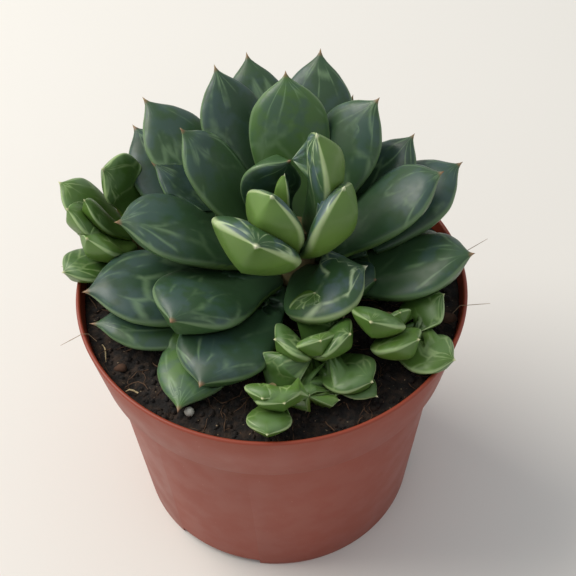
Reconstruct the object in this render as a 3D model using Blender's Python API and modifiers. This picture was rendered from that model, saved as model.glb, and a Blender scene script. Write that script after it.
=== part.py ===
"""A potted haworthia: one large rosette with four offsets, in a 105 mm plastic nursery pot.

Metres, +Z up. The origin is on the surface that the pot stands on, under the middle of the whole
outline. It is modelled about the pot's axis and moved there at the end.
Every leaf, stem, the soil and the pot is a closed solid of its own. A leaf is pressed in where
it lies against one that grew before it, so neighbours touch without running into each other.
"""

import math

import bmesh
import bpy
from mathutils import Matrix, Vector

MM = 0.001
SHARP_ANGLE = math.radians(40)
GAP = 0.3 * MM  # left between two solids that touch

# Pot: a thin moulded wall, tapered, with a tall collar that stacks on the next pot
RIM_RADIUS = 52.5 * MM
RIM_HEIGHT = 82.0 * MM
COLLAR_HEIGHT = 19.0 * MM
COLLAR_FOOT_RADIUS = 49.4 * MM
BODY_TOP_RADIUS = 46.8 * MM
BASE_RADIUS = 41.5 * MM
WALL = 1.2 * MM
FLOOR_RAISE = 4.0 * MM  # the pot's floor stands this high, on a foot ring
FLOOR_THICKNESS = 1.4 * MM
FOOT_NOTCHES = 3
FOOT_NOTCH_WIDTH = 26.0 * MM
FOOT_NOTCH_HEIGHT = 2.4 * MM
FOOT_NOTCH_START = math.radians(244)
DRAIN_HOLES = 6
DRAIN_RADIUS = 4.0 * MM
DRAIN_CIRCLE = 27.0 * MM
POT_STEPS = 40

# Soil: a plug that fills the pot
SOIL_TOP = 78.0 * MM
SOIL_STEPS = 24

# Leaf: half width along the length, as shares of the widest place
OUTLINE = ((0.0, 0.3), (0.2, 0.55), (0.42, 0.86), (0.62, 1.0), (0.8, 0.88), (0.92, 0.52), (1.0, 0.03))
FACE_TOP = ((0.0, 0.16), (0.35, 0.16), (0.65, 0.3), (0.88, 0.26), (1.0, 0.02))
FACE_UNDER = ((0.0, 0.3), (0.3, 0.55), (0.6, 0.72), (0.85, 0.55), (1.0, 0.03))
ROOT_TURN = math.radians(6)  # how far round the stem each mm of sideways swing moves the root
LEAF_SIDES = 8
LEAF_RINGS = 8

STEM_TAPER = 0.6
LEAST_LEFT = 0.1  # share of a leaf that a cut leaves at least
GAP_TRIES = (1.0, 1.2, 0.85, 1.5, 2.0)

# Each plant: where its stem stands in the pot, the stem's radius and height, and its leaves, from
# the heart outwards. A leaf is (direction of its tip in degrees, the tip's reach from the stem's
# axis, the tip's rise above the soil, width, sag of its middle, swing of its middle to the side,
# roll in degrees). The sizes are in mm.
PLANTS = {
    "main": {
        "at": (7, 2),
        "stem": (6.0, 22),
        "leaves": {
            "heart_a": (200, 3, 42, 7, 1, 0, 0),
            "heart_b": (100, 6, 40, 16, 4, 5, 0),
            "heart_c": (11, 5, 53, 18, 2, 0, 0),
            "inner_a": (243, 13, 45, 18, 1, -1, -15),
            "inner_b": (325, 14, 44, 19, 1, -1, 5),
            "inner_c": (246, 24, 38, 24, -2, -4, -10),
            "inner_d": (328, 21, 19, 24, -1, -8, 10),
            "middle_a": (94, 30, 49, 21, 3, 0, 0),
            "middle_b": (152, 33, 43, 18, 2, -1, 0),
            "middle_c": (48, 33, 44, 20, 3, 4, 0),
            "middle_d": (9, 38, 35, 20, 0, 1, 0),
            "middle_e": (186, 46, 30, 23, -1, -3, 0),
            "middle_f": (225, 44, 22, 24, 1, -4, 0),
            "middle_g": (348, 46, 21, 22, 2, 0, 0),
            "outer_a": (118, 45, 44, 19, 3, 0, 0),
            "outer_b": (139, 54, 37, 21, 2, 0, 0),
            "outer_c": (104, 53, 39, 20, 2, 0, 0),
            "outer_d": (81, 49, 42, 21, 3, 0, 0),
            "outer_e": (68, 44, 32, 14, 2, 0, 0),
            "outer_f": (37, 40, 32, 18, 2, 0, 0),
            "outer_g": (22, 48, 27, 22, 1, 0, 0),
            "outer_h": (139, 60, 24, 24, 1, 2, 0),
            "outer_i": (153, 43, 28, 13, 1, 0, 0),
            "outer_j": (194, 57, 14, 26, 0, 0, 0),
            "outer_k": (198, 57, 6, 18, 1, 4, 0),
            "outer_l": (240, 49, 11, 24, 0, -2, 0),
            "outer_m": (236, 54, 4, 20, 1, -5, 0),
            "outer_n": (6, 43, 11, 18, 2, 0, 0),
            "outer_o": (332, 23, 13, 14, 1, 0, 0),
        },
    },
    "left": {
        "at": (-37, 14),
        "stem": (2.5, 12),
        "leaves": {
            "a": (145, 9, 28, 15, 1, -5, 0),
            "b": (195, 12, 25, 9, 1, 0, 0),
            "c": (166, 20, 24, 14, 0, 0, 0),
            "d": (198, 17, 24, 12, 1, 0, 0),
            "e": (226, 16, 19, 14, 1, 0, 0),
            "f": (220, 24, 10, 14, 0, 0, 0),
        },
    },
    "right": {
        "at": (30, -17),
        "stem": (2.2, 8),
        "leaves": {
            "a": (297, 5, 15, 8, 0, 0, 0),
            "b": (244, 14, 21, 14, -2, 0, 0),
            "c": (298, 14, 14, 14, 0, -3, 0),
            "d": (15, 15, 12, 14, 0, 0, 0),
            "e": (319, 21, 7, 14, 0, -1, 0),
        },
    },
    "front": {
        "at": (9, -24),
        "stem": (2.0, 7),
        "leaves": {
            "a": (290, 9, 18, 11, -1, 0, 0),
            "b": (212, 10, 15, 13, -2, 1, 0),
            "c": (332, 12, 17, 13, -1, 0, 0),
            "d": (62, 8, 16, 12, 0, 0, 0),
            "e": (319, 21, 8, 14, 0, 0, 0),
            "f": (318, 23, 4, 9, 0, 0, 0),
            "g": (270, 16, 6, 7, 0, 0, 0),
        },
    },
    "small": {
        "at": (0, -37),
        "stem": (1.8, 6),
        "leaves": {
            "a": (60, 7, 12, 12, 0, 0, 0),
            "b": (255, 9, 13, 11, -2, 0, 0),
            "c": (288, 10, 12, 12, -2, 0, 0),
            "d": (265, 15, 7, 11, -1, 0, 0),
            "e": (350, 17, 4, 7, 0, 0, 0),
        },
    },
}


def clear_scene():
    for thing in list(bpy.data.objects):
        bpy.data.objects.remove(thing)


def material(name, colour, roughness):
    made = bpy.data.materials.new(name)
    made.use_nodes = True
    shader = made.node_tree.nodes["Principled BSDF"]
    shader.inputs["Base Color"].default_value = (*colour, 1.0)
    shader.inputs["Roughness"].default_value = roughness
    shader.inputs["Metallic"].default_value = 0.0
    return made


def curve_through(points, share):
    """Value at share of a smooth curve through (share, value) points (Catmull-Rom)."""
    last = len(points) - 1
    k = 0
    while k < last - 1 and share > points[k + 1][0]:
        k += 1
    (x0, y0), (x1, y1) = points[k], points[k + 1]
    before = points[max(k - 1, 0)]
    after = points[min(k + 2, last)]
    t = (share - x0) / (x1 - x0)
    slope0 = (y1 - before[1]) / (x1 - before[0])
    slope1 = (after[1] - y0) / (after[0] - x0)
    step = x1 - x0
    h00 = 2 * t**3 - 3 * t**2 + 1
    h10 = t**3 - 2 * t**2 + t
    h01 = -2 * t**3 + 3 * t**2
    h11 = t**3 - t**2
    return h00 * y0 + h10 * step * slope0 + h01 * y1 + h11 * step * slope1


def object_of(name, builder, finish):
    mesh = bpy.data.meshes.new(name)
    builder.to_mesh(mesh)
    builder.free()
    mesh.shade_smooth()
    mesh.set_sharp_from_angle(angle=SHARP_ANGLE)
    mesh.materials.append(finish)
    thing = bpy.data.objects.new(name, mesh)
    PLANT.objects.link(thing)
    return thing


def turned(name, profile, steps, finish):
    """A closed solid turned about Z from (radius, height) points that start and end on the axis."""
    builder = bmesh.new()
    corners = [builder.verts.new((radius, 0, height)) for radius, height in profile]
    for start, end in zip(corners, corners[1:]):
        builder.edges.new((start, end))
    thing = object_of(name, builder, finish)
    screw = thing.modifiers.new("turn", "SCREW")
    screw.steps = steps
    screw.render_steps = steps
    screw.use_merge_vertices = True
    screw.merge_threshold = 0.0001
    return thing


def solid_mesh(thing):
    """The object's mesh as its modifiers leave it."""
    depsgraph = bpy.context.evaluated_depsgraph_get()
    return bpy.data.meshes.new_from_object(thing.evaluated_get(depsgraph))


def cut(thing, cutters):
    """Take the cutters' solids out of an object, and keep the cut in its mesh."""
    for cutter in cutters:
        boolean = thing.modifiers.new("cut", "BOOLEAN")
        boolean.operation = "DIFFERENCE"
        boolean.solver = "EXACT"
        boolean.object = cutter
    before = thing.data
    name = before.name
    thing.data = solid_mesh(thing)
    thing.modifiers.clear()
    bpy.data.meshes.remove(before)
    thing.data.name = name


def swollen(thing, gap):
    """A copy of a solid that stands out from it by the gap on every side, to cut others with."""
    builder = bmesh.new()
    builder.from_mesh(thing.data)
    builder.normal_update()
    moves = [vertex.normal * gap * min(vertex.calc_shell_factor(), 1.5) for vertex in builder.verts]
    for vertex, move in zip(builder.verts, moves):
        vertex.co += move
    mesh = bpy.data.meshes.new("cutter")
    builder.to_mesh(mesh)
    builder.free()
    copy = bpy.data.objects.new("cutter", mesh)
    copy.hide_render = True
    copy.display_type = "WIRE"
    CUTTERS.objects.link(copy)
    return copy


def keep_largest(thing):
    """Drop the slivers that a cut left beside the main body."""
    builder = bmesh.new()
    builder.from_mesh(thing.data)
    waiting = set(builder.verts)
    bodies = []
    while waiting:
        body = {waiting.pop()}
        front = list(body)
        while front:
            for edge in front.pop().link_edges:
                for vertex in edge.verts:
                    if vertex in waiting:
                        waiting.remove(vertex)
                        body.add(vertex)
                        front.append(vertex)
        bodies.append(body)
    bodies.sort(key=span, reverse=True)
    for body in bodies[1:]:
        bmesh.ops.delete(builder, geom=list(body), context="VERTS")
    builder.to_mesh(thing.data)
    builder.free()


def span(vertices):
    """Length of the diagonal of the box round some vertices."""
    low, high = box_of([vertex.co for vertex in vertices])
    return (high - low).length


def box_of(points):
    low = Vector([min(point[axis] for point in points) for axis in range(3)])
    high = Vector([max(point[axis] for point in points) for axis in range(3)])
    return low, high


def boxes_meet(one, other):
    return all(one[0][axis] < other[1][axis] and other[0][axis] < one[1][axis] for axis in range(3))


def leaf_line(plant, leaf):
    """Root, middle control point and tip of a leaf's centre line, and its width direction."""
    direction, reach, rise, width, sag, swing, roll = leaf
    stem_radius, stem_height = plant["stem"]
    heading = math.radians(direction)
    out = Vector((math.cos(heading), math.sin(heading), 0))
    foot = Vector((plant["at"][0] * MM, plant["at"][1] * MM, 0))
    foot.z = SOIL_TOP
    steep = math.atan2(rise, reach) / (math.pi / 2)
    root_out = stem_radius * MM * (1.0 - 0.75 * steep)
    root_up = stem_height * MM * (0.12 + 0.8 * steep**1.5)
    turn = heading + swing * ROOT_TURN
    root = foot + Vector((math.cos(turn) * root_out, math.sin(turn) * root_out, root_up))
    tip = foot + out * reach * MM + Vector((0, 0, rise * MM))
    along = (tip - root).normalized()
    side = Vector((-out.y, out.x, 0))
    above = along.cross(side)
    middle = (root + tip) / 2 + (side * swing - above * sag) * 2 * MM
    side = Matrix.Rotation(math.radians(roll), 3, along) @ side
    return root, middle, tip, side


def leaf_mesh(plant, leaf):
    """A sphere drawn out into a leaf: flat above, keeled below, pointed at the tip."""
    root, middle, tip, side = leaf_line(plant, leaf)
    half_width = leaf[3] * MM / 2
    builder = bmesh.new()
    bmesh.ops.create_uvsphere(builder, u_segments=LEAF_SIDES, v_segments=LEAF_RINGS, radius=1)
    for vertex in builder.verts:
        share = math.acos(max(-1.0, min(1.0, -vertex.co.z))) / math.pi
        around = math.atan2(vertex.co.y, vertex.co.x)
        ring = 0.0 if share in (0.0, 1.0) else 1.0
        centre = root * (1 - share) ** 2 + middle * 2 * share * (1 - share) + tip * share**2
        along = ((middle - root) * (1 - share) + (tip - middle) * share).normalized()
        across = (side - along * side.dot(along)).normalized()
        above = along.cross(across)
        half = half_width * curve_through(OUTLINE, share) * ring
        rise = math.sin(around)
        profile = FACE_TOP if rise > 0 else FACE_UNDER
        depth = half_width * curve_through(profile, share) * ring
        vertex.co = centre + across * half * math.cos(around) + above * depth * rise
    bmesh.ops.remove_doubles(builder, verts=builder.verts, dist=0.02 * MM)
    bmesh.ops.recalc_face_normals(builder, faces=builder.faces)
    return builder


def pot_profile():
    """Half section of the pot, from the middle of its floor up the inside and down the outside."""
    collar_foot = RIM_HEIGHT - COLLAR_HEIGHT
    floor_top = FLOOR_RAISE + FLOOR_THICKNESS
    edge = WALL / 3
    return [
        (0, floor_top),
        (BASE_RADIUS - WALL, floor_top),
        (BODY_TOP_RADIUS - WALL, collar_foot - WALL),
        (COLLAR_FOOT_RADIUS - WALL, collar_foot + WALL),
        (RIM_RADIUS - WALL, RIM_HEIGHT - edge),
        (RIM_RADIUS - WALL + edge, RIM_HEIGHT),
        (RIM_RADIUS - edge, RIM_HEIGHT),
        (RIM_RADIUS, RIM_HEIGHT - edge),
        (COLLAR_FOOT_RADIUS, collar_foot),
        (BODY_TOP_RADIUS, collar_foot),
        (BASE_RADIUS + edge, edge),
        (BASE_RADIUS, 0),
        (BASE_RADIUS - WALL, 0),
        (BASE_RADIUS - WALL, FLOOR_RAISE),
        (0, FLOOR_RAISE),
    ]


def soil_profile():
    """Half section of the soil: the pot's inside, a gap smaller."""
    collar_foot = RIM_HEIGHT - COLLAR_HEIGHT
    floor_top = FLOOR_RAISE + FLOOR_THICKNESS
    climb = (SOIL_TOP - collar_foot) / COLLAR_HEIGHT
    top_radius = COLLAR_FOOT_RADIUS + (RIM_RADIUS - COLLAR_FOOT_RADIUS) * climb
    return [
        (0, SOIL_TOP),
        (top_radius - WALL - GAP, SOIL_TOP),
        (COLLAR_FOOT_RADIUS - WALL - GAP, collar_foot + WALL + GAP),
        (BODY_TOP_RADIUS - WALL - GAP, collar_foot - WALL),
        (BASE_RADIUS - WALL - GAP, floor_top + GAP),
        (0, floor_top + GAP),
    ]


def notch_cutter(number):
    """A box through the foot ring, under which the pot is open to drain."""
    turn = FOOT_NOTCH_START + 2 * math.pi * number / FOOT_NOTCHES
    builder = bmesh.new()
    bmesh.ops.create_cube(builder, size=1)
    size = Vector((6 * WALL, FOOT_NOTCH_WIDTH, 2 * FOOT_NOTCH_HEIGHT))
    bmesh.ops.scale(builder, vec=size, verts=builder.verts)
    middle = math.sqrt(BASE_RADIUS**2 - (FOOT_NOTCH_WIDTH / 2) ** 2)
    place = Matrix.Rotation(turn, 4, "Z") @ Matrix.Translation((middle, 0, 0))
    bmesh.ops.transform(builder, matrix=place, verts=builder.verts)
    return builder


def drain_cutter(number):
    turn = 2 * math.pi * number / DRAIN_HOLES
    builder = bmesh.new()
    bmesh.ops.create_cone(
        builder,
        cap_ends=True,
        segments=16,
        radius1=DRAIN_RADIUS,
        radius2=DRAIN_RADIUS,
        depth=4 * FLOOR_THICKNESS,
    )
    place = Vector((math.cos(turn) * DRAIN_CIRCLE, math.sin(turn) * DRAIN_CIRCLE, FLOOR_RAISE))
    bmesh.ops.translate(builder, vec=place, verts=builder.verts)
    return builder


def make_pot(finish):
    pot = turned("pot", pot_profile(), POT_STEPS, finish)
    cutters = [object_of("cutter", notch_cutter(number), finish) for number in range(FOOT_NOTCHES)]
    cutters += [object_of("cutter", drain_cutter(number), finish) for number in range(DRAIN_HOLES)]
    cut(pot, cutters)
    for cutter in cutters:
        bpy.data.objects.remove(cutter)
    return pot


def make_stem(name, plant, finish):
    """A short stem that stands on the soil and carries the leaves."""
    radius, height = plant["stem"]
    builder = bmesh.new()
    bmesh.ops.create_cone(
        builder,
        cap_ends=True,
        segments=16,
        radius1=radius * MM,
        radius2=radius * MM * STEM_TAPER,
        depth=height * MM,
    )
    x, y = plant["at"]
    place = Vector((x * MM, y * MM, SOIL_TOP + GAP + height * MM / 2))
    bmesh.ops.translate(builder, vec=place, verts=builder.verts)
    return object_of(name, builder, finish)


def volume(thing):
    builder = bmesh.new()
    builder.from_mesh(thing.data)
    result = builder.calc_volume()
    builder.free()
    return result


def press_in(leaf, other):
    """Cut a leaf back by a neighbour, with a slightly wider gap where the first cut loses the leaf."""
    whole = leaf.data.copy()
    enough = volume(leaf) * LEAST_LEFT
    for widening in GAP_TRIES:
        cutter = swollen(other, GAP * widening)
        cut(leaf, [cutter])
        bpy.data.objects.remove(cutter)
        if volume(leaf) > enough:
            return
        leaf.data = whole.copy()


def fit_between(leaf, neighbours):
    """Press a leaf in where it would run into what is already there."""
    box = box_of([vertex.co for vertex in leaf.data.vertices])
    for other, other_box in neighbours:
        if boxes_meet(box, other_box):
            press_in(leaf, other)
    keep_largest(leaf)
    neighbours.append((leaf, box))


def centre_on_origin():
    """Move everything so that the origin is under the middle of the whole outline."""
    low, high = box_of([vertex.co for thing in PLANT.objects for vertex in thing.data.vertices])
    middle = (low + high) / 2
    for thing in PLANT.objects:
        thing.data.transform(Matrix.Translation((-middle.x, -middle.y, 0)))


clear_scene()
PLANT = bpy.data.collections.new("potted_haworthia")
CUTTERS = bpy.data.collections.new("cutters")
bpy.context.scene.collection.children.link(PLANT)
bpy.context.scene.collection.children.link(CUTTERS)


def main():
    terracotta = material("terracotta_plastic", (0.33, 0.07, 0.035), 0.5)
    peat = material("peat", (0.02, 0.014, 0.01), 0.95)
    pale_stem = material("stem", (0.35, 0.33, 0.16), 0.6)
    green = material("leaf", (0.06, 0.13, 0.05), 0.4)
    pot = make_pot(terracotta)
    soil = turned("soil", soil_profile(), SOIL_STEPS, peat)
    cut(soil, [])
    neighbours = []
    for solid in (pot, soil):
        neighbours.append((solid, box_of([vertex.co for vertex in solid.data.vertices])))
    for plant_name, plant in PLANTS.items():
        stem = make_stem(f"{plant_name}_stem", plant, pale_stem)
        neighbours.append((stem, box_of([vertex.co for vertex in stem.data.vertices])))
    for plant_name, plant in PLANTS.items():
        for leaf_name, shape in plant["leaves"].items():
            leaf = object_of(f"{plant_name}_leaf_{leaf_name}", leaf_mesh(plant, shape), green)
            fit_between(leaf, neighbours)
    centre_on_origin()


main()
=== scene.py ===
import math
import random

import bmesh
import bpy
from mathutils import Matrix, Vector, noise
from mathutils.bvhtree import BVHTree


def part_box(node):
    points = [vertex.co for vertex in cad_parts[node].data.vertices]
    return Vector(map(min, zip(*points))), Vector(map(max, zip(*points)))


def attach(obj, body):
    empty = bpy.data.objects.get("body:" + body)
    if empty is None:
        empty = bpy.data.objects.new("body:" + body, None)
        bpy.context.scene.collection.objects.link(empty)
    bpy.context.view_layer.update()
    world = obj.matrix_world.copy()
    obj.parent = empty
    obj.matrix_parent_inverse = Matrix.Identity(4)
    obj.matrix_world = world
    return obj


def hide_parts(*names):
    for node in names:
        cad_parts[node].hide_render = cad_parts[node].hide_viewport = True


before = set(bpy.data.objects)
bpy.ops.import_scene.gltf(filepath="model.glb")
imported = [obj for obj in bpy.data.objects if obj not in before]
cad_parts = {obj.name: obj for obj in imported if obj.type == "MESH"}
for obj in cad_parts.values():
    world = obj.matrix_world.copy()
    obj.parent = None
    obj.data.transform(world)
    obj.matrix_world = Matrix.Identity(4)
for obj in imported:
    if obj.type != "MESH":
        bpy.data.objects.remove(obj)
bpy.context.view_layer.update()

mm = 0.001
draw = random.Random(20)

# The pot's axis and the soil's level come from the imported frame.
potLow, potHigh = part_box("pot")
soilLow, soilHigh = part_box("soil")
potAxis = Vector(((potLow.x + potHigh.x) / 2, (potLow.y + potHigh.y) / 2, 0))
rimRadius = (potHigh.x - potLow.x) / 2
rimHeight = potHigh.z
soilTop = soilHigh.z


# sRGB hex to the linear values that the shader works in.
def linearColour(hexText):
    values = [int(hexText[k:k + 2], 16) / 255 for k in (1, 3, 5)]
    return [v / 12.92 if v <= 0.04045 else ((v + 0.055) / 1.055) ** 2.4 for v in values] + [1.0]


# Adds a node, sets its properties and sockets, and links sockets given by name.
def addNode(tree, kind, settings=None, **links):
    node = tree.nodes.new(kind)
    for name, value in (settings or {}).items():
        if hasattr(node, name):
            setattr(node, name, value)
        else:
            node.inputs[name].default_value = value
    for name, source in links.items():
        tree.links.new(source, node.inputs[name])
    return node


def newMaterial(name):
    made = bpy.data.materials.new(name)
    made.use_nodes = True
    return made, made.node_tree, made.node_tree.nodes["Principled BSDF"]


# Blends two colours, each a hex text or a socket, by a socket or number.
def mixColour(tree, share, first, second):
    mix = addNode(tree, "ShaderNodeMix", {"data_type": "RGBA"})
    for index, source in ((6, first), (7, second)):
        if isinstance(source, str):
            mix.inputs[index].default_value = linearColour(source)
        else:
            tree.links.new(source, mix.inputs[index])
    if isinstance(share, float):
        mix.inputs[0].default_value = share
    else:
        tree.links.new(share, mix.inputs[0])
    return mix.outputs[2]


def mapRange(tree, value, low, high, outLow=0.0, outHigh=1.0):
    node = addNode(tree, "ShaderNodeMapRange", {"interpolation_type": "SMOOTHSTEP"})
    for index, number in enumerate((low, high, outLow, outHigh), start=1):
        node.inputs[index].default_value = number
    tree.links.new(value, node.inputs[0])
    return node.outputs[0]


def multiply(tree, first, second):
    node = addNode(tree, "ShaderNodeMath", {"operation": "MULTIPLY"})
    for index, source in enumerate((first, second)):
        if isinstance(source, float):
            node.inputs[index].default_value = source
        else:
            tree.links.new(source, node.inputs[index])
    return node.outputs[0]


def attribute(tree, name):
    return addNode(tree, "ShaderNodeAttribute", {"attribute_name": name}).outputs["Fac"]


# Noise in the piece's own metres: one cell is about 1/scale metres wide.
def objectNoise(tree, scale, detail=3.0):
    place = addNode(tree, "ShaderNodeTexCoord").outputs["Object"]
    settings = {"Scale": scale, "Detail": detail}
    return addNode(tree, "ShaderNodeTexNoise", settings, Vector=place).outputs["Fac"]


def bumpFrom(tree, height, strength, distance):
    settings = {"Strength": strength, "Distance": distance}
    return addNode(tree, "ShaderNodeBump", settings, Height=height).outputs["Normal"]


# Waxy, fleshy skin: darker above with a misty window and pale veins, brighter below.
def leafMaterial(name, look):
    made, tree, shader = newMaterial(name)
    above = attribute(tree, "above")
    along = attribute(tree, "along")
    across = attribute(tree, "across")
    tone = attribute(tree, "tone")
    cloud = objectNoise(tree, 90.0)
    face = mixColour(tree, cloud, look["faceDark"], look["faceLight"])
    face = mixColour(tree, tone, face, look["faceWarm"])
    back = mixColour(tree, cloud, look["backDark"], look["backLight"])
    back = mixColour(tree, mapRange(tree, along, 0.35, 0.9, 0.75, 0.0), back, look["backWarm"])
    # the window: the part of the upper face that lets light in, near the tip
    window = multiply(tree, mapRange(tree, along, 0.5, 0.74), mapRange(tree, along, 0.97, 0.9))
    patch = mapRange(tree, objectNoise(tree, 160.0), 0.42, 0.6)
    window = multiply(tree, window, patch)
    face = mixColour(tree, multiply(tree, window, look["window"]), face, look["windowColour"])
    # the veins run together at the tip, so their map narrows towards it
    veinMap = addNode(tree, "ShaderNodeUVMap", {"uv_map": "veinMap"}).outputs["UV"]
    cells = addNode(tree, "ShaderNodeTexVoronoi", {"feature": "DISTANCE_TO_EDGE", "Scale": 1.0})
    wobble = addNode(tree, "ShaderNodeTexNoise", {"Scale": 2.0, "Detail": 2.0}, Vector=veinMap)
    bent = addNode(tree, "ShaderNodeMix", {"data_type": "VECTOR"})
    bent.inputs[0].default_value = 0.14
    tree.links.new(veinMap, bent.inputs[4])
    tree.links.new(wobble.outputs["Color"], bent.inputs[5])
    tree.links.new(bent.outputs[1], cells.inputs["Vector"])
    vein = mapRange(tree, cells.outputs["Distance"], 0.09, 0.0)
    vein = multiply(tree, vein, mapRange(tree, along, 0.3, 0.75))
    vein = multiply(tree, vein, mapRange(tree, objectNoise(tree, 120.0), 0.4, 0.62))
    face = mixColour(tree, multiply(tree, vein, look["vein"]), face, look["veinColour"])
    skin = mixColour(tree, above, back, face)
    # a thin pale line runs along both margins, and the awn is dry
    edge = multiply(tree, mapRange(tree, across, 0.93, 1.0), mapRange(tree, along, 0.3, 0.6))
    skin = mixColour(tree, multiply(tree, edge, 0.75), skin, look["marginColour"])
    skin = mixColour(tree, mapRange(tree, along, 0.955, 0.985), skin, look["awnColour"])
    tree.links.new(skin, shader.inputs["Base Color"])
    rough = mapRange(tree, objectNoise(tree, 400.0), 0.2, 0.8, 0.34, 0.5)
    tree.links.new(rough, shader.inputs["Roughness"])
    shader.inputs["Subsurface Weight"].default_value = 0.12
    shader.inputs["Subsurface Radius"].default_value = (0.5, 1.0, 0.3)
    shader.inputs["Subsurface Scale"].default_value = 2.0 * mm
    tree.links.new(bumpFrom(tree, objectNoise(tree, 1500.0), 0.12, 0.1 * mm), shader.inputs["Normal"])
    return made


leafLooks = {
    # the old leaves: dark, slightly blue
    "darkLeaf": {
        "faceDark": "#22382a", "faceLight": "#33503a", "faceWarm": "#4f7236",
        "backDark": "#2f4d2b", "backLight": "#486a38", "backWarm": "#65803f",
        "windowColour": "#40575a", "window": 0.5, "veinColour": "#7f9c74", "vein": 0.5,
        "marginColour": "#6f8a5f", "awnColour": "#8a6a4c",
    },
    # the young leaves at the heart and in front of it: yellow-green below, misty windows above
    "youngLeaf": {
        "faceDark": "#2d4a30", "faceLight": "#42643c", "faceWarm": "#557538",
        "backDark": "#4a6b2c", "backLight": "#6f8f40", "backWarm": "#6b8734",
        "windowColour": "#4f6566", "window": 0.95, "veinColour": "#b9cda0", "vein": 0.9,
        "marginColour": "#b3c58d", "awnColour": "#d8dcb8",
    },
    # the offsets: bright green, mottled
    "offsetLeaf": {
        "faceDark": "#2f4d22", "faceLight": "#4f7330", "faceWarm": "#628238",
        "backDark": "#3f6124", "backLight": "#638438", "backWarm": "#768e3c",
        "windowColour": "#6f8c62", "window": 0.4, "veinColour": "#b2c98c", "vein": 0.5,
        "marginColour": "#a9c088", "awnColour": "#d4d3a6",
    },
}


# The leaf's shape: half width and depths along it, as shares of the widest half width.
# The last few hundredths are the awn, a thin bristle.
leafShape = {
    "outline": ((0.0, 0.3), (0.2, 0.55), (0.42, 0.86), (0.62, 1.0), (0.78, 0.9), (0.88, 0.56),
                (0.94, 0.2), (0.97, 0.055), (1.0, 0.012)),
    "top": ((0.0, 0.16), (0.35, 0.14), (0.65, 0.3), (0.86, 0.26),
            (0.94, 0.12), (0.97, 0.04), (1.0, 0.01)),
    "under": ((0.0, 0.3), (0.3, 0.55), (0.6, 0.74), (0.82, 0.6),
              (0.92, 0.24), (0.97, 0.05), (1.0, 0.01)),
    "sides": 36,
    "rings": 44,
    "rootTurn": math.radians(6),
    "gap": 0.15 * mm, "nearest": 6 * mm, "floorGap": 0.2 * mm,
    "ringSpread": 0.86, "swell": 0.05, "swellAlong": 4, "swellAcross": 1.5,
    "keelStart": 0.35, "keelLength": 0.4, "keelShare": 0.75, "keelPower": 1.15,
    "veinAcross": 1.1, "veinAlong": 3.2, "veinNarrowing": 0.6, "veinStart": 1.12, "veinEnd": 0.12,
}

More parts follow.
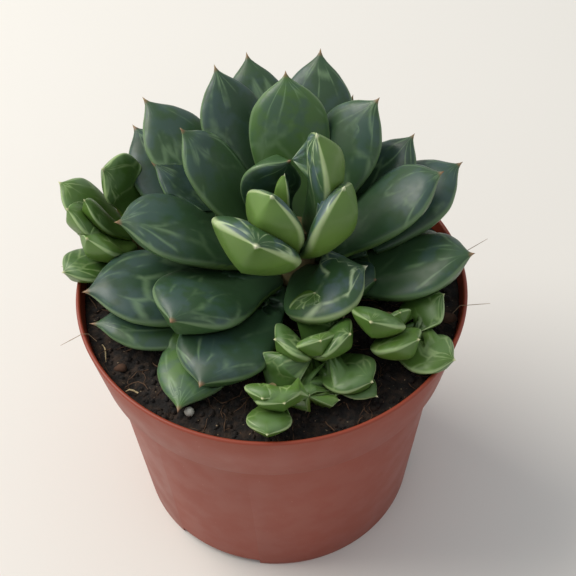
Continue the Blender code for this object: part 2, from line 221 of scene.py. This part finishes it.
# Each plant: where its stem stands, the stem's radius and height, and its leaves: (direction of
# the tip in degrees, its reach, its rise above the soil, width, sag, sideways swing, roll), in mm.
plants = {
    "main": {"at": (7, 2), "stem": (6.0, 22), "look": "darkLeaf", "leaves": {
        "heart_a": (200, 3, 42, 7, 1, 0, 0),
        "heart_b": (100, 6, 40, 16, 4, 5, 0),
        "heart_c": (11, 5, 53, 18, 2, 0, 0),
        "inner_a": (243, 13, 45, 18, 1, -1, -15),
        "inner_b": (325, 14, 44, 19, 1, -1, 5),
        "inner_c": (246, 24, 38, 24, -2, -4, -10),
        "inner_d": (328, 21, 19, 24, -1, -8, 10),
        "middle_a": (94, 30, 49, 21, 3, 0, 0),
        "middle_b": (152, 33, 43, 18, 2, -1, 0),
        "middle_c": (48, 33, 44, 20, 3, 4, 0),
        "middle_d": (9, 38, 35, 20, 0, 1, 0),
        "middle_e": (186, 46, 30, 23, -1, -3, 0),
        "middle_f": (225, 44, 22, 24, 1, -4, 0),
        "middle_g": (348, 46, 21, 22, 2, 0, 0),
        "outer_a": (118, 45, 44, 19, 3, 0, 0),
        "outer_b": (139, 54, 37, 21, 2, 0, 0),
        "outer_c": (104, 53, 39, 20, 2, 0, 0),
        "outer_d": (81, 49, 42, 21, 3, 0, 0),
        "outer_e": (68, 44, 32, 14, 2, 0, 0),
        "outer_f": (37, 40, 32, 18, 2, 0, 0),
        "outer_g": (22, 48, 27, 22, 1, 0, 0),
        "outer_h": (139, 60, 24, 24, 1, 2, 0),
        "outer_i": (153, 43, 28, 13, 1, 0, 0),
        "outer_j": (194, 57, 14, 26, 0, 0, 0),
        "outer_k": (198, 57, 6, 18, 1, 4, 0),
        "outer_l": (240, 49, 11, 24, 0, -2, 0),
        "outer_m": (236, 54, 4, 20, 1, -5, 0),
        "outer_n": (6, 43, 11, 18, 2, 0, 0),
        "outer_o": (332, 23, 13, 14, 1, 0, 0),
    }},
    "left": {"at": (-37, 14), "stem": (2.5, 12), "look": "offsetLeaf", "leaves": {
        "a": (145, 9, 28, 15, 1, -5, 0),
        "b": (195, 12, 25, 9, 1, 0, 0),
        "c": (166, 20, 24, 14, 0, 0, 0),
        "d": (198, 17, 24, 12, 1, 0, 0),
        "e": (226, 16, 19, 14, 1, 0, 0),
        "f": (220, 24, 10, 14, 0, 0, 0),
    }},
    "right": {"at": (30, -17), "stem": (2.2, 8), "look": "offsetLeaf", "leaves": {
        "a": (297, 5, 15, 8, 0, 0, 0),
        "b": (244, 14, 21, 14, -2, 0, 0),
        "c": (298, 14, 14, 14, 0, -3, 0),
        "d": (15, 15, 12, 14, 0, 0, 0),
        "e": (319, 21, 7, 14, 0, -1, 0),
    }},
    "front": {"at": (9, -24), "stem": (2.0, 7), "look": "offsetLeaf", "leaves": {
        "a": (290, 9, 18, 11, -1, 0, 0),
        "b": (212, 10, 15, 13, -2, 1, 0),
        "c": (332, 12, 17, 13, -1, 0, 0),
        "d": (62, 8, 16, 12, 0, 0, 0),
        "e": (319, 21, 8, 14, 0, 0, 0),
        "f": (318, 23, 4, 9, 0, 0, 0),
        "g": (270, 16, 6, 7, 0, 0, 0),
    }},
    "small": {"at": (0, -37), "stem": (1.8, 6), "look": "offsetLeaf", "leaves": {
        "a": (60, 7, 12, 12, 0, 0, 0),
        "b": (255, 9, 13, 11, -2, 0, 0),
        "c": (288, 10, 12, 12, -2, 0, 0),
        "d": (265, 15, 7, 11, -1, 0, 0),
        "e": (350, 17, 4, 7, 0, 0, 0),
    }},
}
youngLeaves = ("heart_a", "heart_c", "inner_a", "inner_b", "inner_c", "inner_d")
warmLeaves = {"middle_a": 0.85, "middle_b": 0.3, "outer_b": 0.25, "outer_m": 1.0, "outer_k": 0.3}


# Value at share of a smooth curve through (share, value) points.
def curveThrough(points, share):
    last = len(points) - 1
    k = 0
    while k < last - 1 and share > points[k + 1][0]:
        k += 1
    (x0, y0), (x1, y1) = points[k], points[k + 1]
    before = points[max(k - 1, 0)]
    after = points[min(k + 2, last)]
    step = x1 - x0
    t = (share - x0) / step
    slope0 = (y1 - before[1]) / (x1 - before[0])
    slope1 = (after[1] - y0) / (after[0] - x0)
    bend0 = (t**3 - 2 * t**2 + t) * step * slope0
    bend1 = (t**3 - t**2) * step * slope1
    return (2 * t**3 - 3 * t**2 + 1) * y0 + (3 * t**2 - 2 * t**3) * y1 + bend0 + bend1


# Root, middle control point and tip of a leaf's centre line, and its width direction.
def leafLine(plant, leaf):
    direction, reach, rise, width, sag, swing, roll = leaf
    stemRadius, stemHeight = plant["stem"]
    heading = math.radians(direction)
    out = Vector((math.cos(heading), math.sin(heading), 0))
    foot = potAxis + Vector((plant["at"][0] * mm, plant["at"][1] * mm, soilTop))
    steep = math.atan2(rise, reach) / (math.pi / 2)
    rootOut = stemRadius * mm * (1.0 - 0.75 * steep)
    rootUp = stemHeight * mm * (0.12 + 0.8 * steep**1.5)
    turn = heading + swing * leafShape["rootTurn"]
    root = foot + Vector((math.cos(turn) * rootOut, math.sin(turn) * rootOut, rootUp))
    tip = foot + out * reach * mm + Vector((0, 0, rise * mm))
    along = (tip - root).normalized()
    side = Vector((-out.y, out.x, 0))
    above = along.cross(side)
    middle = (root + tip) / 2 + (side * swing - above * sag) * 2 * mm
    side = Matrix.Rotation(math.radians(roll), 3, along) @ side
    return root, middle, tip, side


def setFloats(mesh, name, values):
    mesh.attributes.new(name, "FLOAT", "POINT").data.foreach_set("value", values)


# A point that lies inside a leaf already in place moves out to that leaf's skin.
def pushOut(point, trees):
    for tree in trees:
        place, normal, *others = tree.find_nearest(point, leafShape["nearest"])
        if place is not None and (point - place).dot(normal) < leafShape["gap"]:
            point = place + normal * leafShape["gap"]
    return point


# A sphere drawn out into a leaf: full and keeled below, flatter above, with an awn.
def leafPiece(name, plant, leaf, material, tone, trees):
    root, middle, tip, side = leafLine(plant, leaf)
    half = leaf[3] * mm / 2
    seed = Vector((draw.uniform(0, 50), draw.uniform(0, 50), draw.uniform(0, 50)))
    builder = bmesh.new()
    sides, rings = leafShape["sides"], leafShape["rings"]
    bmesh.ops.create_uvsphere(builder, u_segments=sides, v_segments=rings, radius=1)
    along, above, across = [], [], []
    builder.verts.ensure_lookup_table()
    for vertex in builder.verts:
        polar = math.acos(max(-1.0, min(1.0, -vertex.co.z))) / math.pi
        share = polar ** leafShape["ringSpread"]
        around = math.atan2(vertex.co.y, vertex.co.x)
        ring = 0.0 if polar in (0.0, 1.0) else 1.0
        centre = root * (1 - share) ** 2 + middle * 2 * share * (1 - share) + tip * share**2
        ahead = ((middle - root) * (1 - share) + (tip - middle) * share).normalized()
        wide = (side - ahead * side.dot(ahead)).normalized()
        up = ahead.cross(wide)
        spread = math.cos(around)
        lift = math.sin(around)
        depth = curveThrough(leafShape["top" if lift > 0 else "under"], share)
        if lift < 0:
            # the keel: the lower side comes to a ridge towards the tip
            keel = max(0.0, min(1.0, (share - leafShape["keelStart"]) / leafShape["keelLength"]))
            sharp = 1 - abs(spread) ** leafShape["keelPower"]
            keel *= leafShape["keelShare"]
            lift = -(abs(lift) * (1 - keel) + sharp * keel)
        fine = leafShape["swellAcross"]
        place = Vector((share * leafShape["swellAlong"], spread * fine, lift * fine))
        swell = 1 + leafShape["swell"] * noise.noise(seed + place)
        reach = half * curveThrough(leafShape["outline"], share) * ring * swell
        rise = half * depth * ring * lift
        point = centre + wide * reach * spread + up * rise
        point.z = max(point.z, soilTop + leafShape["floorGap"])
        vertex.co = pushOut(point, trees) if trees else point
        along.append(share)
        across.append(abs(spread))
        above.append(1.0 if math.sin(around) > 0.0 else 0.0)
    bmesh.ops.recalc_face_normals(builder, faces=builder.faces)
    veinMap = builder.loops.layers.uv.new("veinMap")
    for face in builder.faces:
        for loop in face.loops:
            k = loop.vert.index
            sideShare = across[k] * (1 if (loop.vert.co - root).dot(side) > 0 else -1)
            narrowing = max(leafShape["veinEnd"], leafShape["veinStart"] - along[k])
            acrossVeins = sideShare * leafShape["veinAcross"] / narrowing ** leafShape["veinNarrowing"]
            loop[veinMap].uv = (seed.x + acrossVeins, seed.y + along[k] * leafShape["veinAlong"])
    mesh = bpy.data.meshes.new(name)
    builder.to_mesh(mesh)
    tree = BVHTree.FromBMesh(builder)
    builder.free()
    mesh.shade_smooth()
    setFloats(mesh, "along", along)
    setFloats(mesh, "across", across)
    setFloats(mesh, "above", above)
    setFloats(mesh, "tone", [tone] * len(along))
    mesh.materials.append(material)
    thing = bpy.data.objects.new(name, mesh)
    bpy.context.scene.collection.objects.link(thing)
    return thing, tree


def boxesMeet(one, other, slack=1 * mm):
    return all(one[0][k] < other[1][k] + slack and other[0][k] < one[1][k] + slack for k in range(3))


def makeLeaves():
    materials = {name: leafMaterial(name, look) for name, look in leafLooks.items()}
    placed = []
    for plantName, plant in plants.items():
        for leafName, leaf in plant["leaves"].items():
            node = f"{plantName}_leaf_{leafName}"
            young = plantName == "main" and leafName in youngLeaves
            material = materials["youngLeaf" if young else plant["look"]]
            tone = draw.uniform(0, 0.25 if plantName == "main" else 0.8)
            tone = warmLeaves.get(leafName, tone) if plantName == "main" else tone
            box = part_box(node)
            near = [tree for tree, other in placed if boxesMeet(box, other, 3 * mm)]
            thing, tree = leafPiece(node + "_skin", plant, leaf, material, tone, near)
            placed.append((tree, box))
            finishPiece(thing, node)
        print("leaves:", plantName)


def finishPiece(thing, node):
    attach(thing, "root")
    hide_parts(node)


potShape = {
    "collar": 19.0 * mm, "collarFoot": 49.4 * mm, "bodyTop": 46.8 * mm, "base": 41.5 * mm,
    "wall": 1.2 * mm, "floorRaise": 4.0 * mm, "floorThickness": 1.4 * mm,
    "notches": 3, "notchWidth": 26.0 * mm, "notchHeight": 2.4 * mm, "notchStart": math.radians(244),
    "holes": 6, "holeRadius": 4.0 * mm, "holeCircle": 27.0 * mm, "steps": 192,
}


# Matt moulded plastic, terracotta, with faint pale scuffs.
def potMaterial():
    made, tree, shader = newMaterial("terracottaPlastic")
    base = mixColour(tree, objectNoise(tree, 25.0), "#86331f", "#964028")
    scuff = mapRange(tree, objectNoise(tree, 700.0, 6.0), 0.7, 0.78, 0.0, 0.35)
    tree.links.new(mixColour(tree, scuff, base, "#d9a08a"), shader.inputs["Base Color"])
    rough = mapRange(tree, objectNoise(tree, 120.0), 0.3, 0.7, 0.42, 0.52)
    tree.links.new(rough, shader.inputs["Roughness"])
    tree.links.new(bumpFrom(tree, objectNoise(tree, 2500.0), 0.08, 0.05 * mm), shader.inputs["Normal"])
    return made


def makePot():
    shape = potShape
    wall, base, collarFoot = shape["wall"], shape["base"], rimHeight - shape["collar"]
    floorTop = shape["floorRaise"] + shape["floorThickness"]
    lip = [(rimRadius - wall / 2 - wall / 2 * math.cos(a), rimHeight - wall / 2 + wall / 2 * math.sin(a))
           for a in (math.radians(d) for d in range(0, 181, 30))]
    profile = [(0, floorTop), (base - wall, floorTop), (shape["bodyTop"] - wall, collarFoot - wall),
               (shape["collarFoot"] - wall, collarFoot + wall), *lip,
               (shape["collarFoot"] + 0.1 * mm, collarFoot + 0.5 * mm),
               (shape["collarFoot"] - 0.3 * mm, collarFoot),
               (shape["bodyTop"], collarFoot), (base + 0.3 * mm, 0.5 * mm), (base, 0),
               (base - wall, 0), (base - wall, shape["floorRaise"]), (0, shape["floorRaise"])]
    builder = bmesh.new()
    corners = [builder.verts.new((potAxis.x + r, potAxis.y, z)) for r, z in profile]
    for start, end in zip(corners, corners[1:]):
        builder.edges.new((start, end))
    bmesh.ops.spin(builder, geom=builder.verts[:] + builder.edges[:], cent=potAxis, axis=(0, 0, 1),
                   angle=2 * math.pi, steps=shape["steps"], use_merge=True)
    bmesh.ops.remove_doubles(builder, verts=builder.verts, dist=0.01 * mm)
    bmesh.ops.recalc_face_normals(builder, faces=builder.faces)
    pot = pieceFrom(builder, "moulded_pot", potMaterial())
    cutters = []
    for number in range(shape["notches"]):
        turn = shape["notchStart"] + 2 * math.pi * number / shape["notches"]
        cube = bmesh.new()
        bmesh.ops.create_cube(cube, size=1)
        bmesh.ops.scale(cube, vec=(6 * wall, shape["notchWidth"], 2 * shape["notchHeight"]), verts=cube.verts)
        middle = math.sqrt(base**2 - (shape["notchWidth"] / 2) ** 2)
        place = Matrix.Translation(potAxis) @ Matrix.Rotation(turn, 4, "Z")
        place = place @ Matrix.Translation((middle, 0, 0))
        bmesh.ops.transform(cube, matrix=place, verts=cube.verts)
        cutters.append(pieceFrom(cube, "cutter"))
    for number in range(shape["holes"]):
        turn = 2 * math.pi * number / shape["holes"]
        rod = bmesh.new()
        bmesh.ops.create_cone(rod, cap_ends=True, segments=32, radius1=shape["holeRadius"],
                              radius2=shape["holeRadius"], depth=4 * shape["floorThickness"])
        place = potAxis + Vector((math.cos(turn), math.sin(turn), 0)) * shape["holeCircle"]
        bmesh.ops.translate(rod, vec=place + Vector((0, 0, shape["floorRaise"])), verts=rod.verts)
        cutters.append(pieceFrom(rod, "cutter"))
    for cutter in cutters:
        cut = pot.modifiers.new("cut", "BOOLEAN")
        cut.object = cutter
    bakeModifiers(pot)
    for cutter in cutters:
        bpy.data.objects.remove(cutter)
    pot.data.shade_smooth()
    pot.data.set_sharp_from_angle(angle=math.radians(35))
    finishPiece(pot, "pot")
    print("pot")


def pieceFrom(builder, name, material=None):
    mesh = bpy.data.meshes.new(name)
    builder.to_mesh(mesh)
    builder.free()
    if material:
        mesh.materials.append(material)
    thing = bpy.data.objects.new(name, mesh)
    bpy.context.scene.collection.objects.link(thing)
    return thing


def bakeModifiers(thing):
    depsgraph = bpy.context.evaluated_depsgraph_get()
    before = thing.data
    thing.data = bpy.data.meshes.new_from_object(thing.evaluated_get(depsgraph))
    thing.modifiers.clear()
    bpy.data.meshes.remove(before)


soilShape = {
    "sides": 260, "finest": 60, "cuts": 6, "lumps": 1.1 * mm, "lumpScale": 160,
    "skirtDepth": 12 * mm, "skirtShrink": 0.95,
    "crumbs": 1500, "crumbRadius": (0.3, 1.3),
    "fibres": 260, "fibreLength": (3, 10), "fibreRise": (0.2, 1.8), "fibreRadius": (0.06, 0.16),
    "straws": 46, "strawLength": (2, 8), "strawRise": (0.4, 1.6), "strawRadius": (0.15, 0.4),
}


# Damp peat: nearly black, with brown crumbs.
def peatMaterial():
    made, tree, shader = newMaterial("peat")
    base = mixColour(tree, mapRange(tree, objectNoise(tree, 500.0, 6.0), 0.4, 0.7), "#120e0c", "#33261c")
    specks = mapRange(tree, objectNoise(tree, 1300.0, 4.0), 0.68, 0.74, 0.0, 0.7)
    base = mixColour(tree, specks, base, "#a58f72")
    tree.links.new(base, shader.inputs["Base Color"])
    shader.inputs["Roughness"].default_value = 0.92
    tree.links.new(bumpFrom(tree, objectNoise(tree, 1600.0, 6.0), 0.8, 0.5 * mm), shader.inputs["Normal"])
    return made


# A dry or dusty stuff that varies between two colours.
def plainMaterial(name, dark, light, scale=600.0, roughness=0.8):
    made, tree, shader = newMaterial(name)
    tree.links.new(mixColour(tree, objectNoise(tree, scale), dark, light), shader.inputs["Base Color"])
    shader.inputs["Roughness"].default_value = roughness
    return made


# Height of the peat at a place round the pot's axis.
def soilSurface(x, y):
    fine = soilShape["lumpScale"]
    lumps = noise.fractal(Vector((x * fine, y * fine, 3.1)), 0.8, 2.1, 5)
    return soilTop + soilShape["lumps"] * lumps


def soilRadius():
    inner = potShape["collarFoot"] + (rimRadius - potShape["collarFoot"]) * (
        1 - (rimHeight - soilTop) / potShape["collar"])
    return inner - potShape["wall"] - 0.15 * mm


def makeSoil():
    peat = peatMaterial()
    radius = soilRadius()
    builder = bmesh.new()
    sides = soilShape["sides"]
    bmesh.ops.create_circle(builder, cap_ends=True, cap_tris=True, segments=sides, radius=radius)
    for _ in range(soilShape["cuts"]):
        longest = [edge for edge in builder.edges if edge.calc_length() > radius / soilShape["finest"]]
        bmesh.ops.subdivide_edges(builder, edges=longest, cuts=1, use_grid_fill=True)
    for vertex in builder.verts:
        vertex.co.z = soilSurface(vertex.co.x, vertex.co.y)
    skirt = bmesh.ops.extrude_face_region(builder, geom=builder.faces[:])
    low = [item for item in skirt["geom"] if isinstance(item, bmesh.types.BMVert)]
    for vertex in low:
        vertex.co.z = soilTop - soilShape["skirtDepth"]
        vertex.co.x *= soilShape["skirtShrink"]
        vertex.co.y *= soilShape["skirtShrink"]
    bmesh.ops.translate(builder, vec=potAxis, verts=builder.verts)
    bmesh.ops.recalc_face_normals(builder, faces=builder.faces)
    soil = pieceFrom(builder, "peat_soil", peat)
    soil.data.shade_smooth()
    finishPiece(soil, "soil")
    scatter("peat_crumbs", soilShape["crumbs"], peat, crumb)
    scatter("peat_fibres", soilShape["fibres"], plainMaterial("driedRoot", "#3a2a1d", "#6d4f36"), fibre)
    scatter("straw_bits", soilShape["straws"], plainMaterial("straw", "#a08a62", "#cdbb93"), straw)
    looseThings()
    print("soil")


# A place on the peat, by its direction in degrees and its share of the way out to the rim.
def pointAt(turn, share, lift=0.0):
    x = math.cos(math.radians(turn)) * soilRadius() * share
    y = math.sin(math.radians(turn)) * soilRadius() * share
    return potAxis + Vector((x, y, soilSurface(x, y) + lift * mm))


# Bead: direction, share of the way out and lift. Bark: direction, share and size.
# Hairs: direction, length past the rim and rise of the end.
looseShape = {
    "beadRadius": 1.25 * mm, "beadPlace": (243, 0.9, 0.9),
    "bark": ((12, 0.93, 3.0), (-14, 0.95, 2.6), (20, 0.9, 1.9), (305, 0.8, 1.8), (214, 0.93, 1.7)),
    "hairs": ((8, 7, 5), (-12, 6, 2), (168, 7, -3), (200, 6, -2), (175, 5, 1)), "hairRadius": 0.09 * mm,
}


# A fertiliser bead, bark chunks and a few root hairs that pass the rim.
def looseThings():
    builder = bmesh.new()
    made = bmesh.ops.create_uvsphere(builder, u_segments=24, v_segments=16, radius=looseShape["beadRadius"])
    bmesh.ops.translate(builder, vec=pointAt(*looseShape["beadPlace"]), verts=made["verts"])
    coating = plainMaterial("coatedFertiliser", "#a9a79c", "#c9c8bd", 300.0, 0.4)
    looseThing(builder, "fertiliser_bead", coating)
    builder = bmesh.new()
    for turn, share, size in looseShape["bark"]:
        made = bmesh.ops.create_icosphere(builder, subdivisions=2, radius=size * mm)
        place = pointAt(turn, share, 0.3)
        for vertex in made["verts"]:
            rough = 1 + 0.35 * noise.noise(vertex.co * 500 + Vector((size, 0, 0)))
            vertex.co = Vector((vertex.co.x, vertex.co.y * 0.7, vertex.co.z * 0.5)) * rough + place
    looseThing(builder, "bark_chunks", plainMaterial("bark", "#2a1b13", "#5b3d29", 900.0, 0.9))
    builder = bmesh.new()
    for turn, length, up in looseShape["hairs"]:
        out = Vector((math.cos(math.radians(turn)), math.sin(math.radians(turn)), 0))
        start = pointAt(turn, 0.97)
        over = potAxis + out * (rimRadius - 0.3 * mm) + Vector((0, 0, rimHeight + 0.5 * mm))
        end = over + out * length * mm + Vector((0, 0, up * mm))
        arch = (start + over) / 2 + Vector((0, 0, 1.5 * mm))
        thread(builder, [start, arch, over, (over + end) / 2, end], looseShape["hairRadius"])
    looseThing(builder, "root_hairs", plainMaterial("palerRoot", "#8d7358", "#b59b7c"))


def looseThing(builder, name, material):
    thing = pieceFrom(builder, name, material)
    thing.data.shade_smooth()
    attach(thing, "root")


# Many small things on the peat, joined into one piece.
def scatter(name, count, material, addOne):
    builder = bmesh.new()
    for _ in range(count):
        turn = draw.uniform(0, 2 * math.pi)
        distance = soilRadius() * math.sqrt(draw.uniform(0.02, 0.98)) * 0.985
        x, y = math.cos(turn) * distance, math.sin(turn) * distance
        addOne(builder, Vector((x, y, soilSurface(x, y))) + potAxis)
    thing = pieceFrom(builder, name, material)
    thing.data.shade_smooth()
    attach(thing, "root")


def crumb(builder, place):
    radius = draw.uniform(*soilShape["crumbRadius"]) * mm
    made = bmesh.ops.create_icosphere(builder, subdivisions=1, radius=radius)
    size = Vector([draw.uniform(0.6, 1.2), draw.uniform(0.6, 1.2), draw.uniform(0.4, 0.9)])
    for vertex in made["verts"]:
        vertex.co = Vector([vertex.co[k] * size[k] * draw.uniform(0.8, 1.2) for k in range(3)]) + place


threadSides = 5


# A thin closed tube through points.
def thread(builder, points, radius):
    rings = []
    for k, point in enumerate(points):
        ahead = (points[min(k + 1, len(points) - 1)] - points[max(k - 1, 0)]).normalized()
        made = bmesh.ops.create_circle(builder, cap_ends=k in (0, len(points) - 1), segments=threadSides,
                                       radius=radius * (0.5 if k == len(points) - 1 else 1.0))
        turn = Vector((0, 0, 1)).rotation_difference(ahead).to_matrix().to_4x4()
        bmesh.ops.transform(builder, matrix=Matrix.Translation(point) @ turn, verts=made["verts"])
        rings.append(made["verts"])
    for one, other in zip(rings, rings[1:]):
        start = min(range(threadSides), key=lambda k: (other[k].co - one[0].co).length)
        for k in range(threadSides):
            ahead, near, far = (k + 1) % threadSides, (start + k) % threadSides, (start + k + 1) % threadSides
            builder.faces.new((one[k], one[ahead], other[far], other[near]))


def wander(place, length, rise, steps=5):
    heading = draw.uniform(0, 2 * math.pi)
    points = [place]
    for k in range(steps):
        heading += draw.uniform(-0.7, 0.7)
        up = rise * math.sin(math.pi * (k + 1) / (steps + 0.5))
        stride = Vector((math.cos(heading), math.sin(heading), 0)) * length / steps
        flat = points[-1] + stride
        points.append(Vector((flat.x, flat.y, place.z + up)))
    return points


def insidePot(points):
    limit = soilRadius() - 0.5 * mm
    for point in points:
        offset = Vector((point.x - potAxis.x, point.y - potAxis.y, 0))
        if offset.length > limit:
            offset = offset.normalized() * limit
            point.x, point.y = potAxis.x + offset.x, potAxis.y + offset.y
    return points


def fibre(builder, place):
    length = draw.uniform(*soilShape["fibreLength"]) * mm
    points = insidePot(wander(place, length, draw.uniform(*soilShape["fibreRise"]) * mm))
    thread(builder, points, draw.uniform(*soilShape["fibreRadius"]) * mm)


def straw(builder, place):
    length = draw.uniform(*soilShape["strawLength"]) * mm
    points = insidePot(wander(place, length, draw.uniform(*soilShape["strawRise"]) * mm, 3))
    thread(builder, points, draw.uniform(*soilShape["strawRadius"]) * mm)


def makeStems():
    skin = plainMaterial("paleStem", "#6b5a3c", "#8f8358")
    for plantName in plants:
        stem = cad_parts[plantName + "_stem"]
        stem.data.materials.clear()
        stem.data.materials.append(skin)


view = {"lens": 68.75, "elevation": math.radians(49.0), "roll": math.radians(-1.2),
        "distance": 358 * mm, "right": 3.3 * mm, "up": 51.5 * mm}


def makeCamera():
    e, r = view["elevation"], view["roll"]
    back = Vector((0, -math.cos(e), math.sin(e)))
    level = Vector((1, 0, 0))
    upright = Vector((0, math.sin(e), math.cos(e)))
    right = level * math.cos(r) + upright * math.sin(r)
    up = upright * math.cos(r) - level * math.sin(r)
    place = potAxis + back * view["distance"] + right * view["right"] + up * view["up"]
    camera = bpy.data.objects.new("camera", bpy.data.cameras.new("camera"))
    camera.data.lens = view["lens"]
    camera.data.clip_start = 0.01
    turn = Matrix((right, up, back)).transposed().to_4x4()
    camera.matrix_world = Matrix.Translation(place) @ turn
    bpy.context.scene.collection.objects.link(camera)
    bpy.context.scene.camera = camera


room = {
    "floorHalf": 3.0, "sky": "#eef2f6", "skyStrength": 0.58, "windowPlace": (-0.95, 0.35, 1.15),
    "windowWide": 1.2, "windowHigh": 1.0, "windowPower": 21, "windowColour": "#fffaf2", "aimHeight": 0.08,
}


def makeRoom():
    builder = bmesh.new()
    bmesh.ops.create_grid(builder, x_segments=1, y_segments=1, size=room["floorHalf"])
    floor = pieceFrom(builder, "floor", plainMaterial("paintedBoard", "#e6e3dd", "#ece9e3", 3.0, 0.7))
    world = bpy.data.worlds.new("softDaylight")
    bpy.context.scene.world = world
    world.use_nodes = True
    world.node_tree.nodes["Background"].inputs["Color"].default_value = linearColour(room["sky"])
    world.node_tree.nodes["Background"].inputs["Strength"].default_value = room["skyStrength"]
    window = bpy.data.lights.new("window", "AREA")
    window.shape = "RECTANGLE"
    window.size = room["windowWide"]
    window.size_y = room["windowHigh"]
    window.energy = room["windowPower"]
    window.color = linearColour(room["windowColour"])[:3]
    lamp = bpy.data.objects.new("window", window)
    place = Vector(room["windowPlace"])
    aim = place - Vector((0, 0, room["aimHeight"]))
    lamp.matrix_world = Matrix.Translation(place) @ aim.to_track_quat("Z", "Y").to_matrix().to_4x4()
    bpy.context.scene.collection.objects.link(lamp)
    bpy.context.scene.view_settings.view_transform = "Standard"


makeLeaves()
makePot()
makeSoil()
makeStems()
makeCamera()
makeRoom()
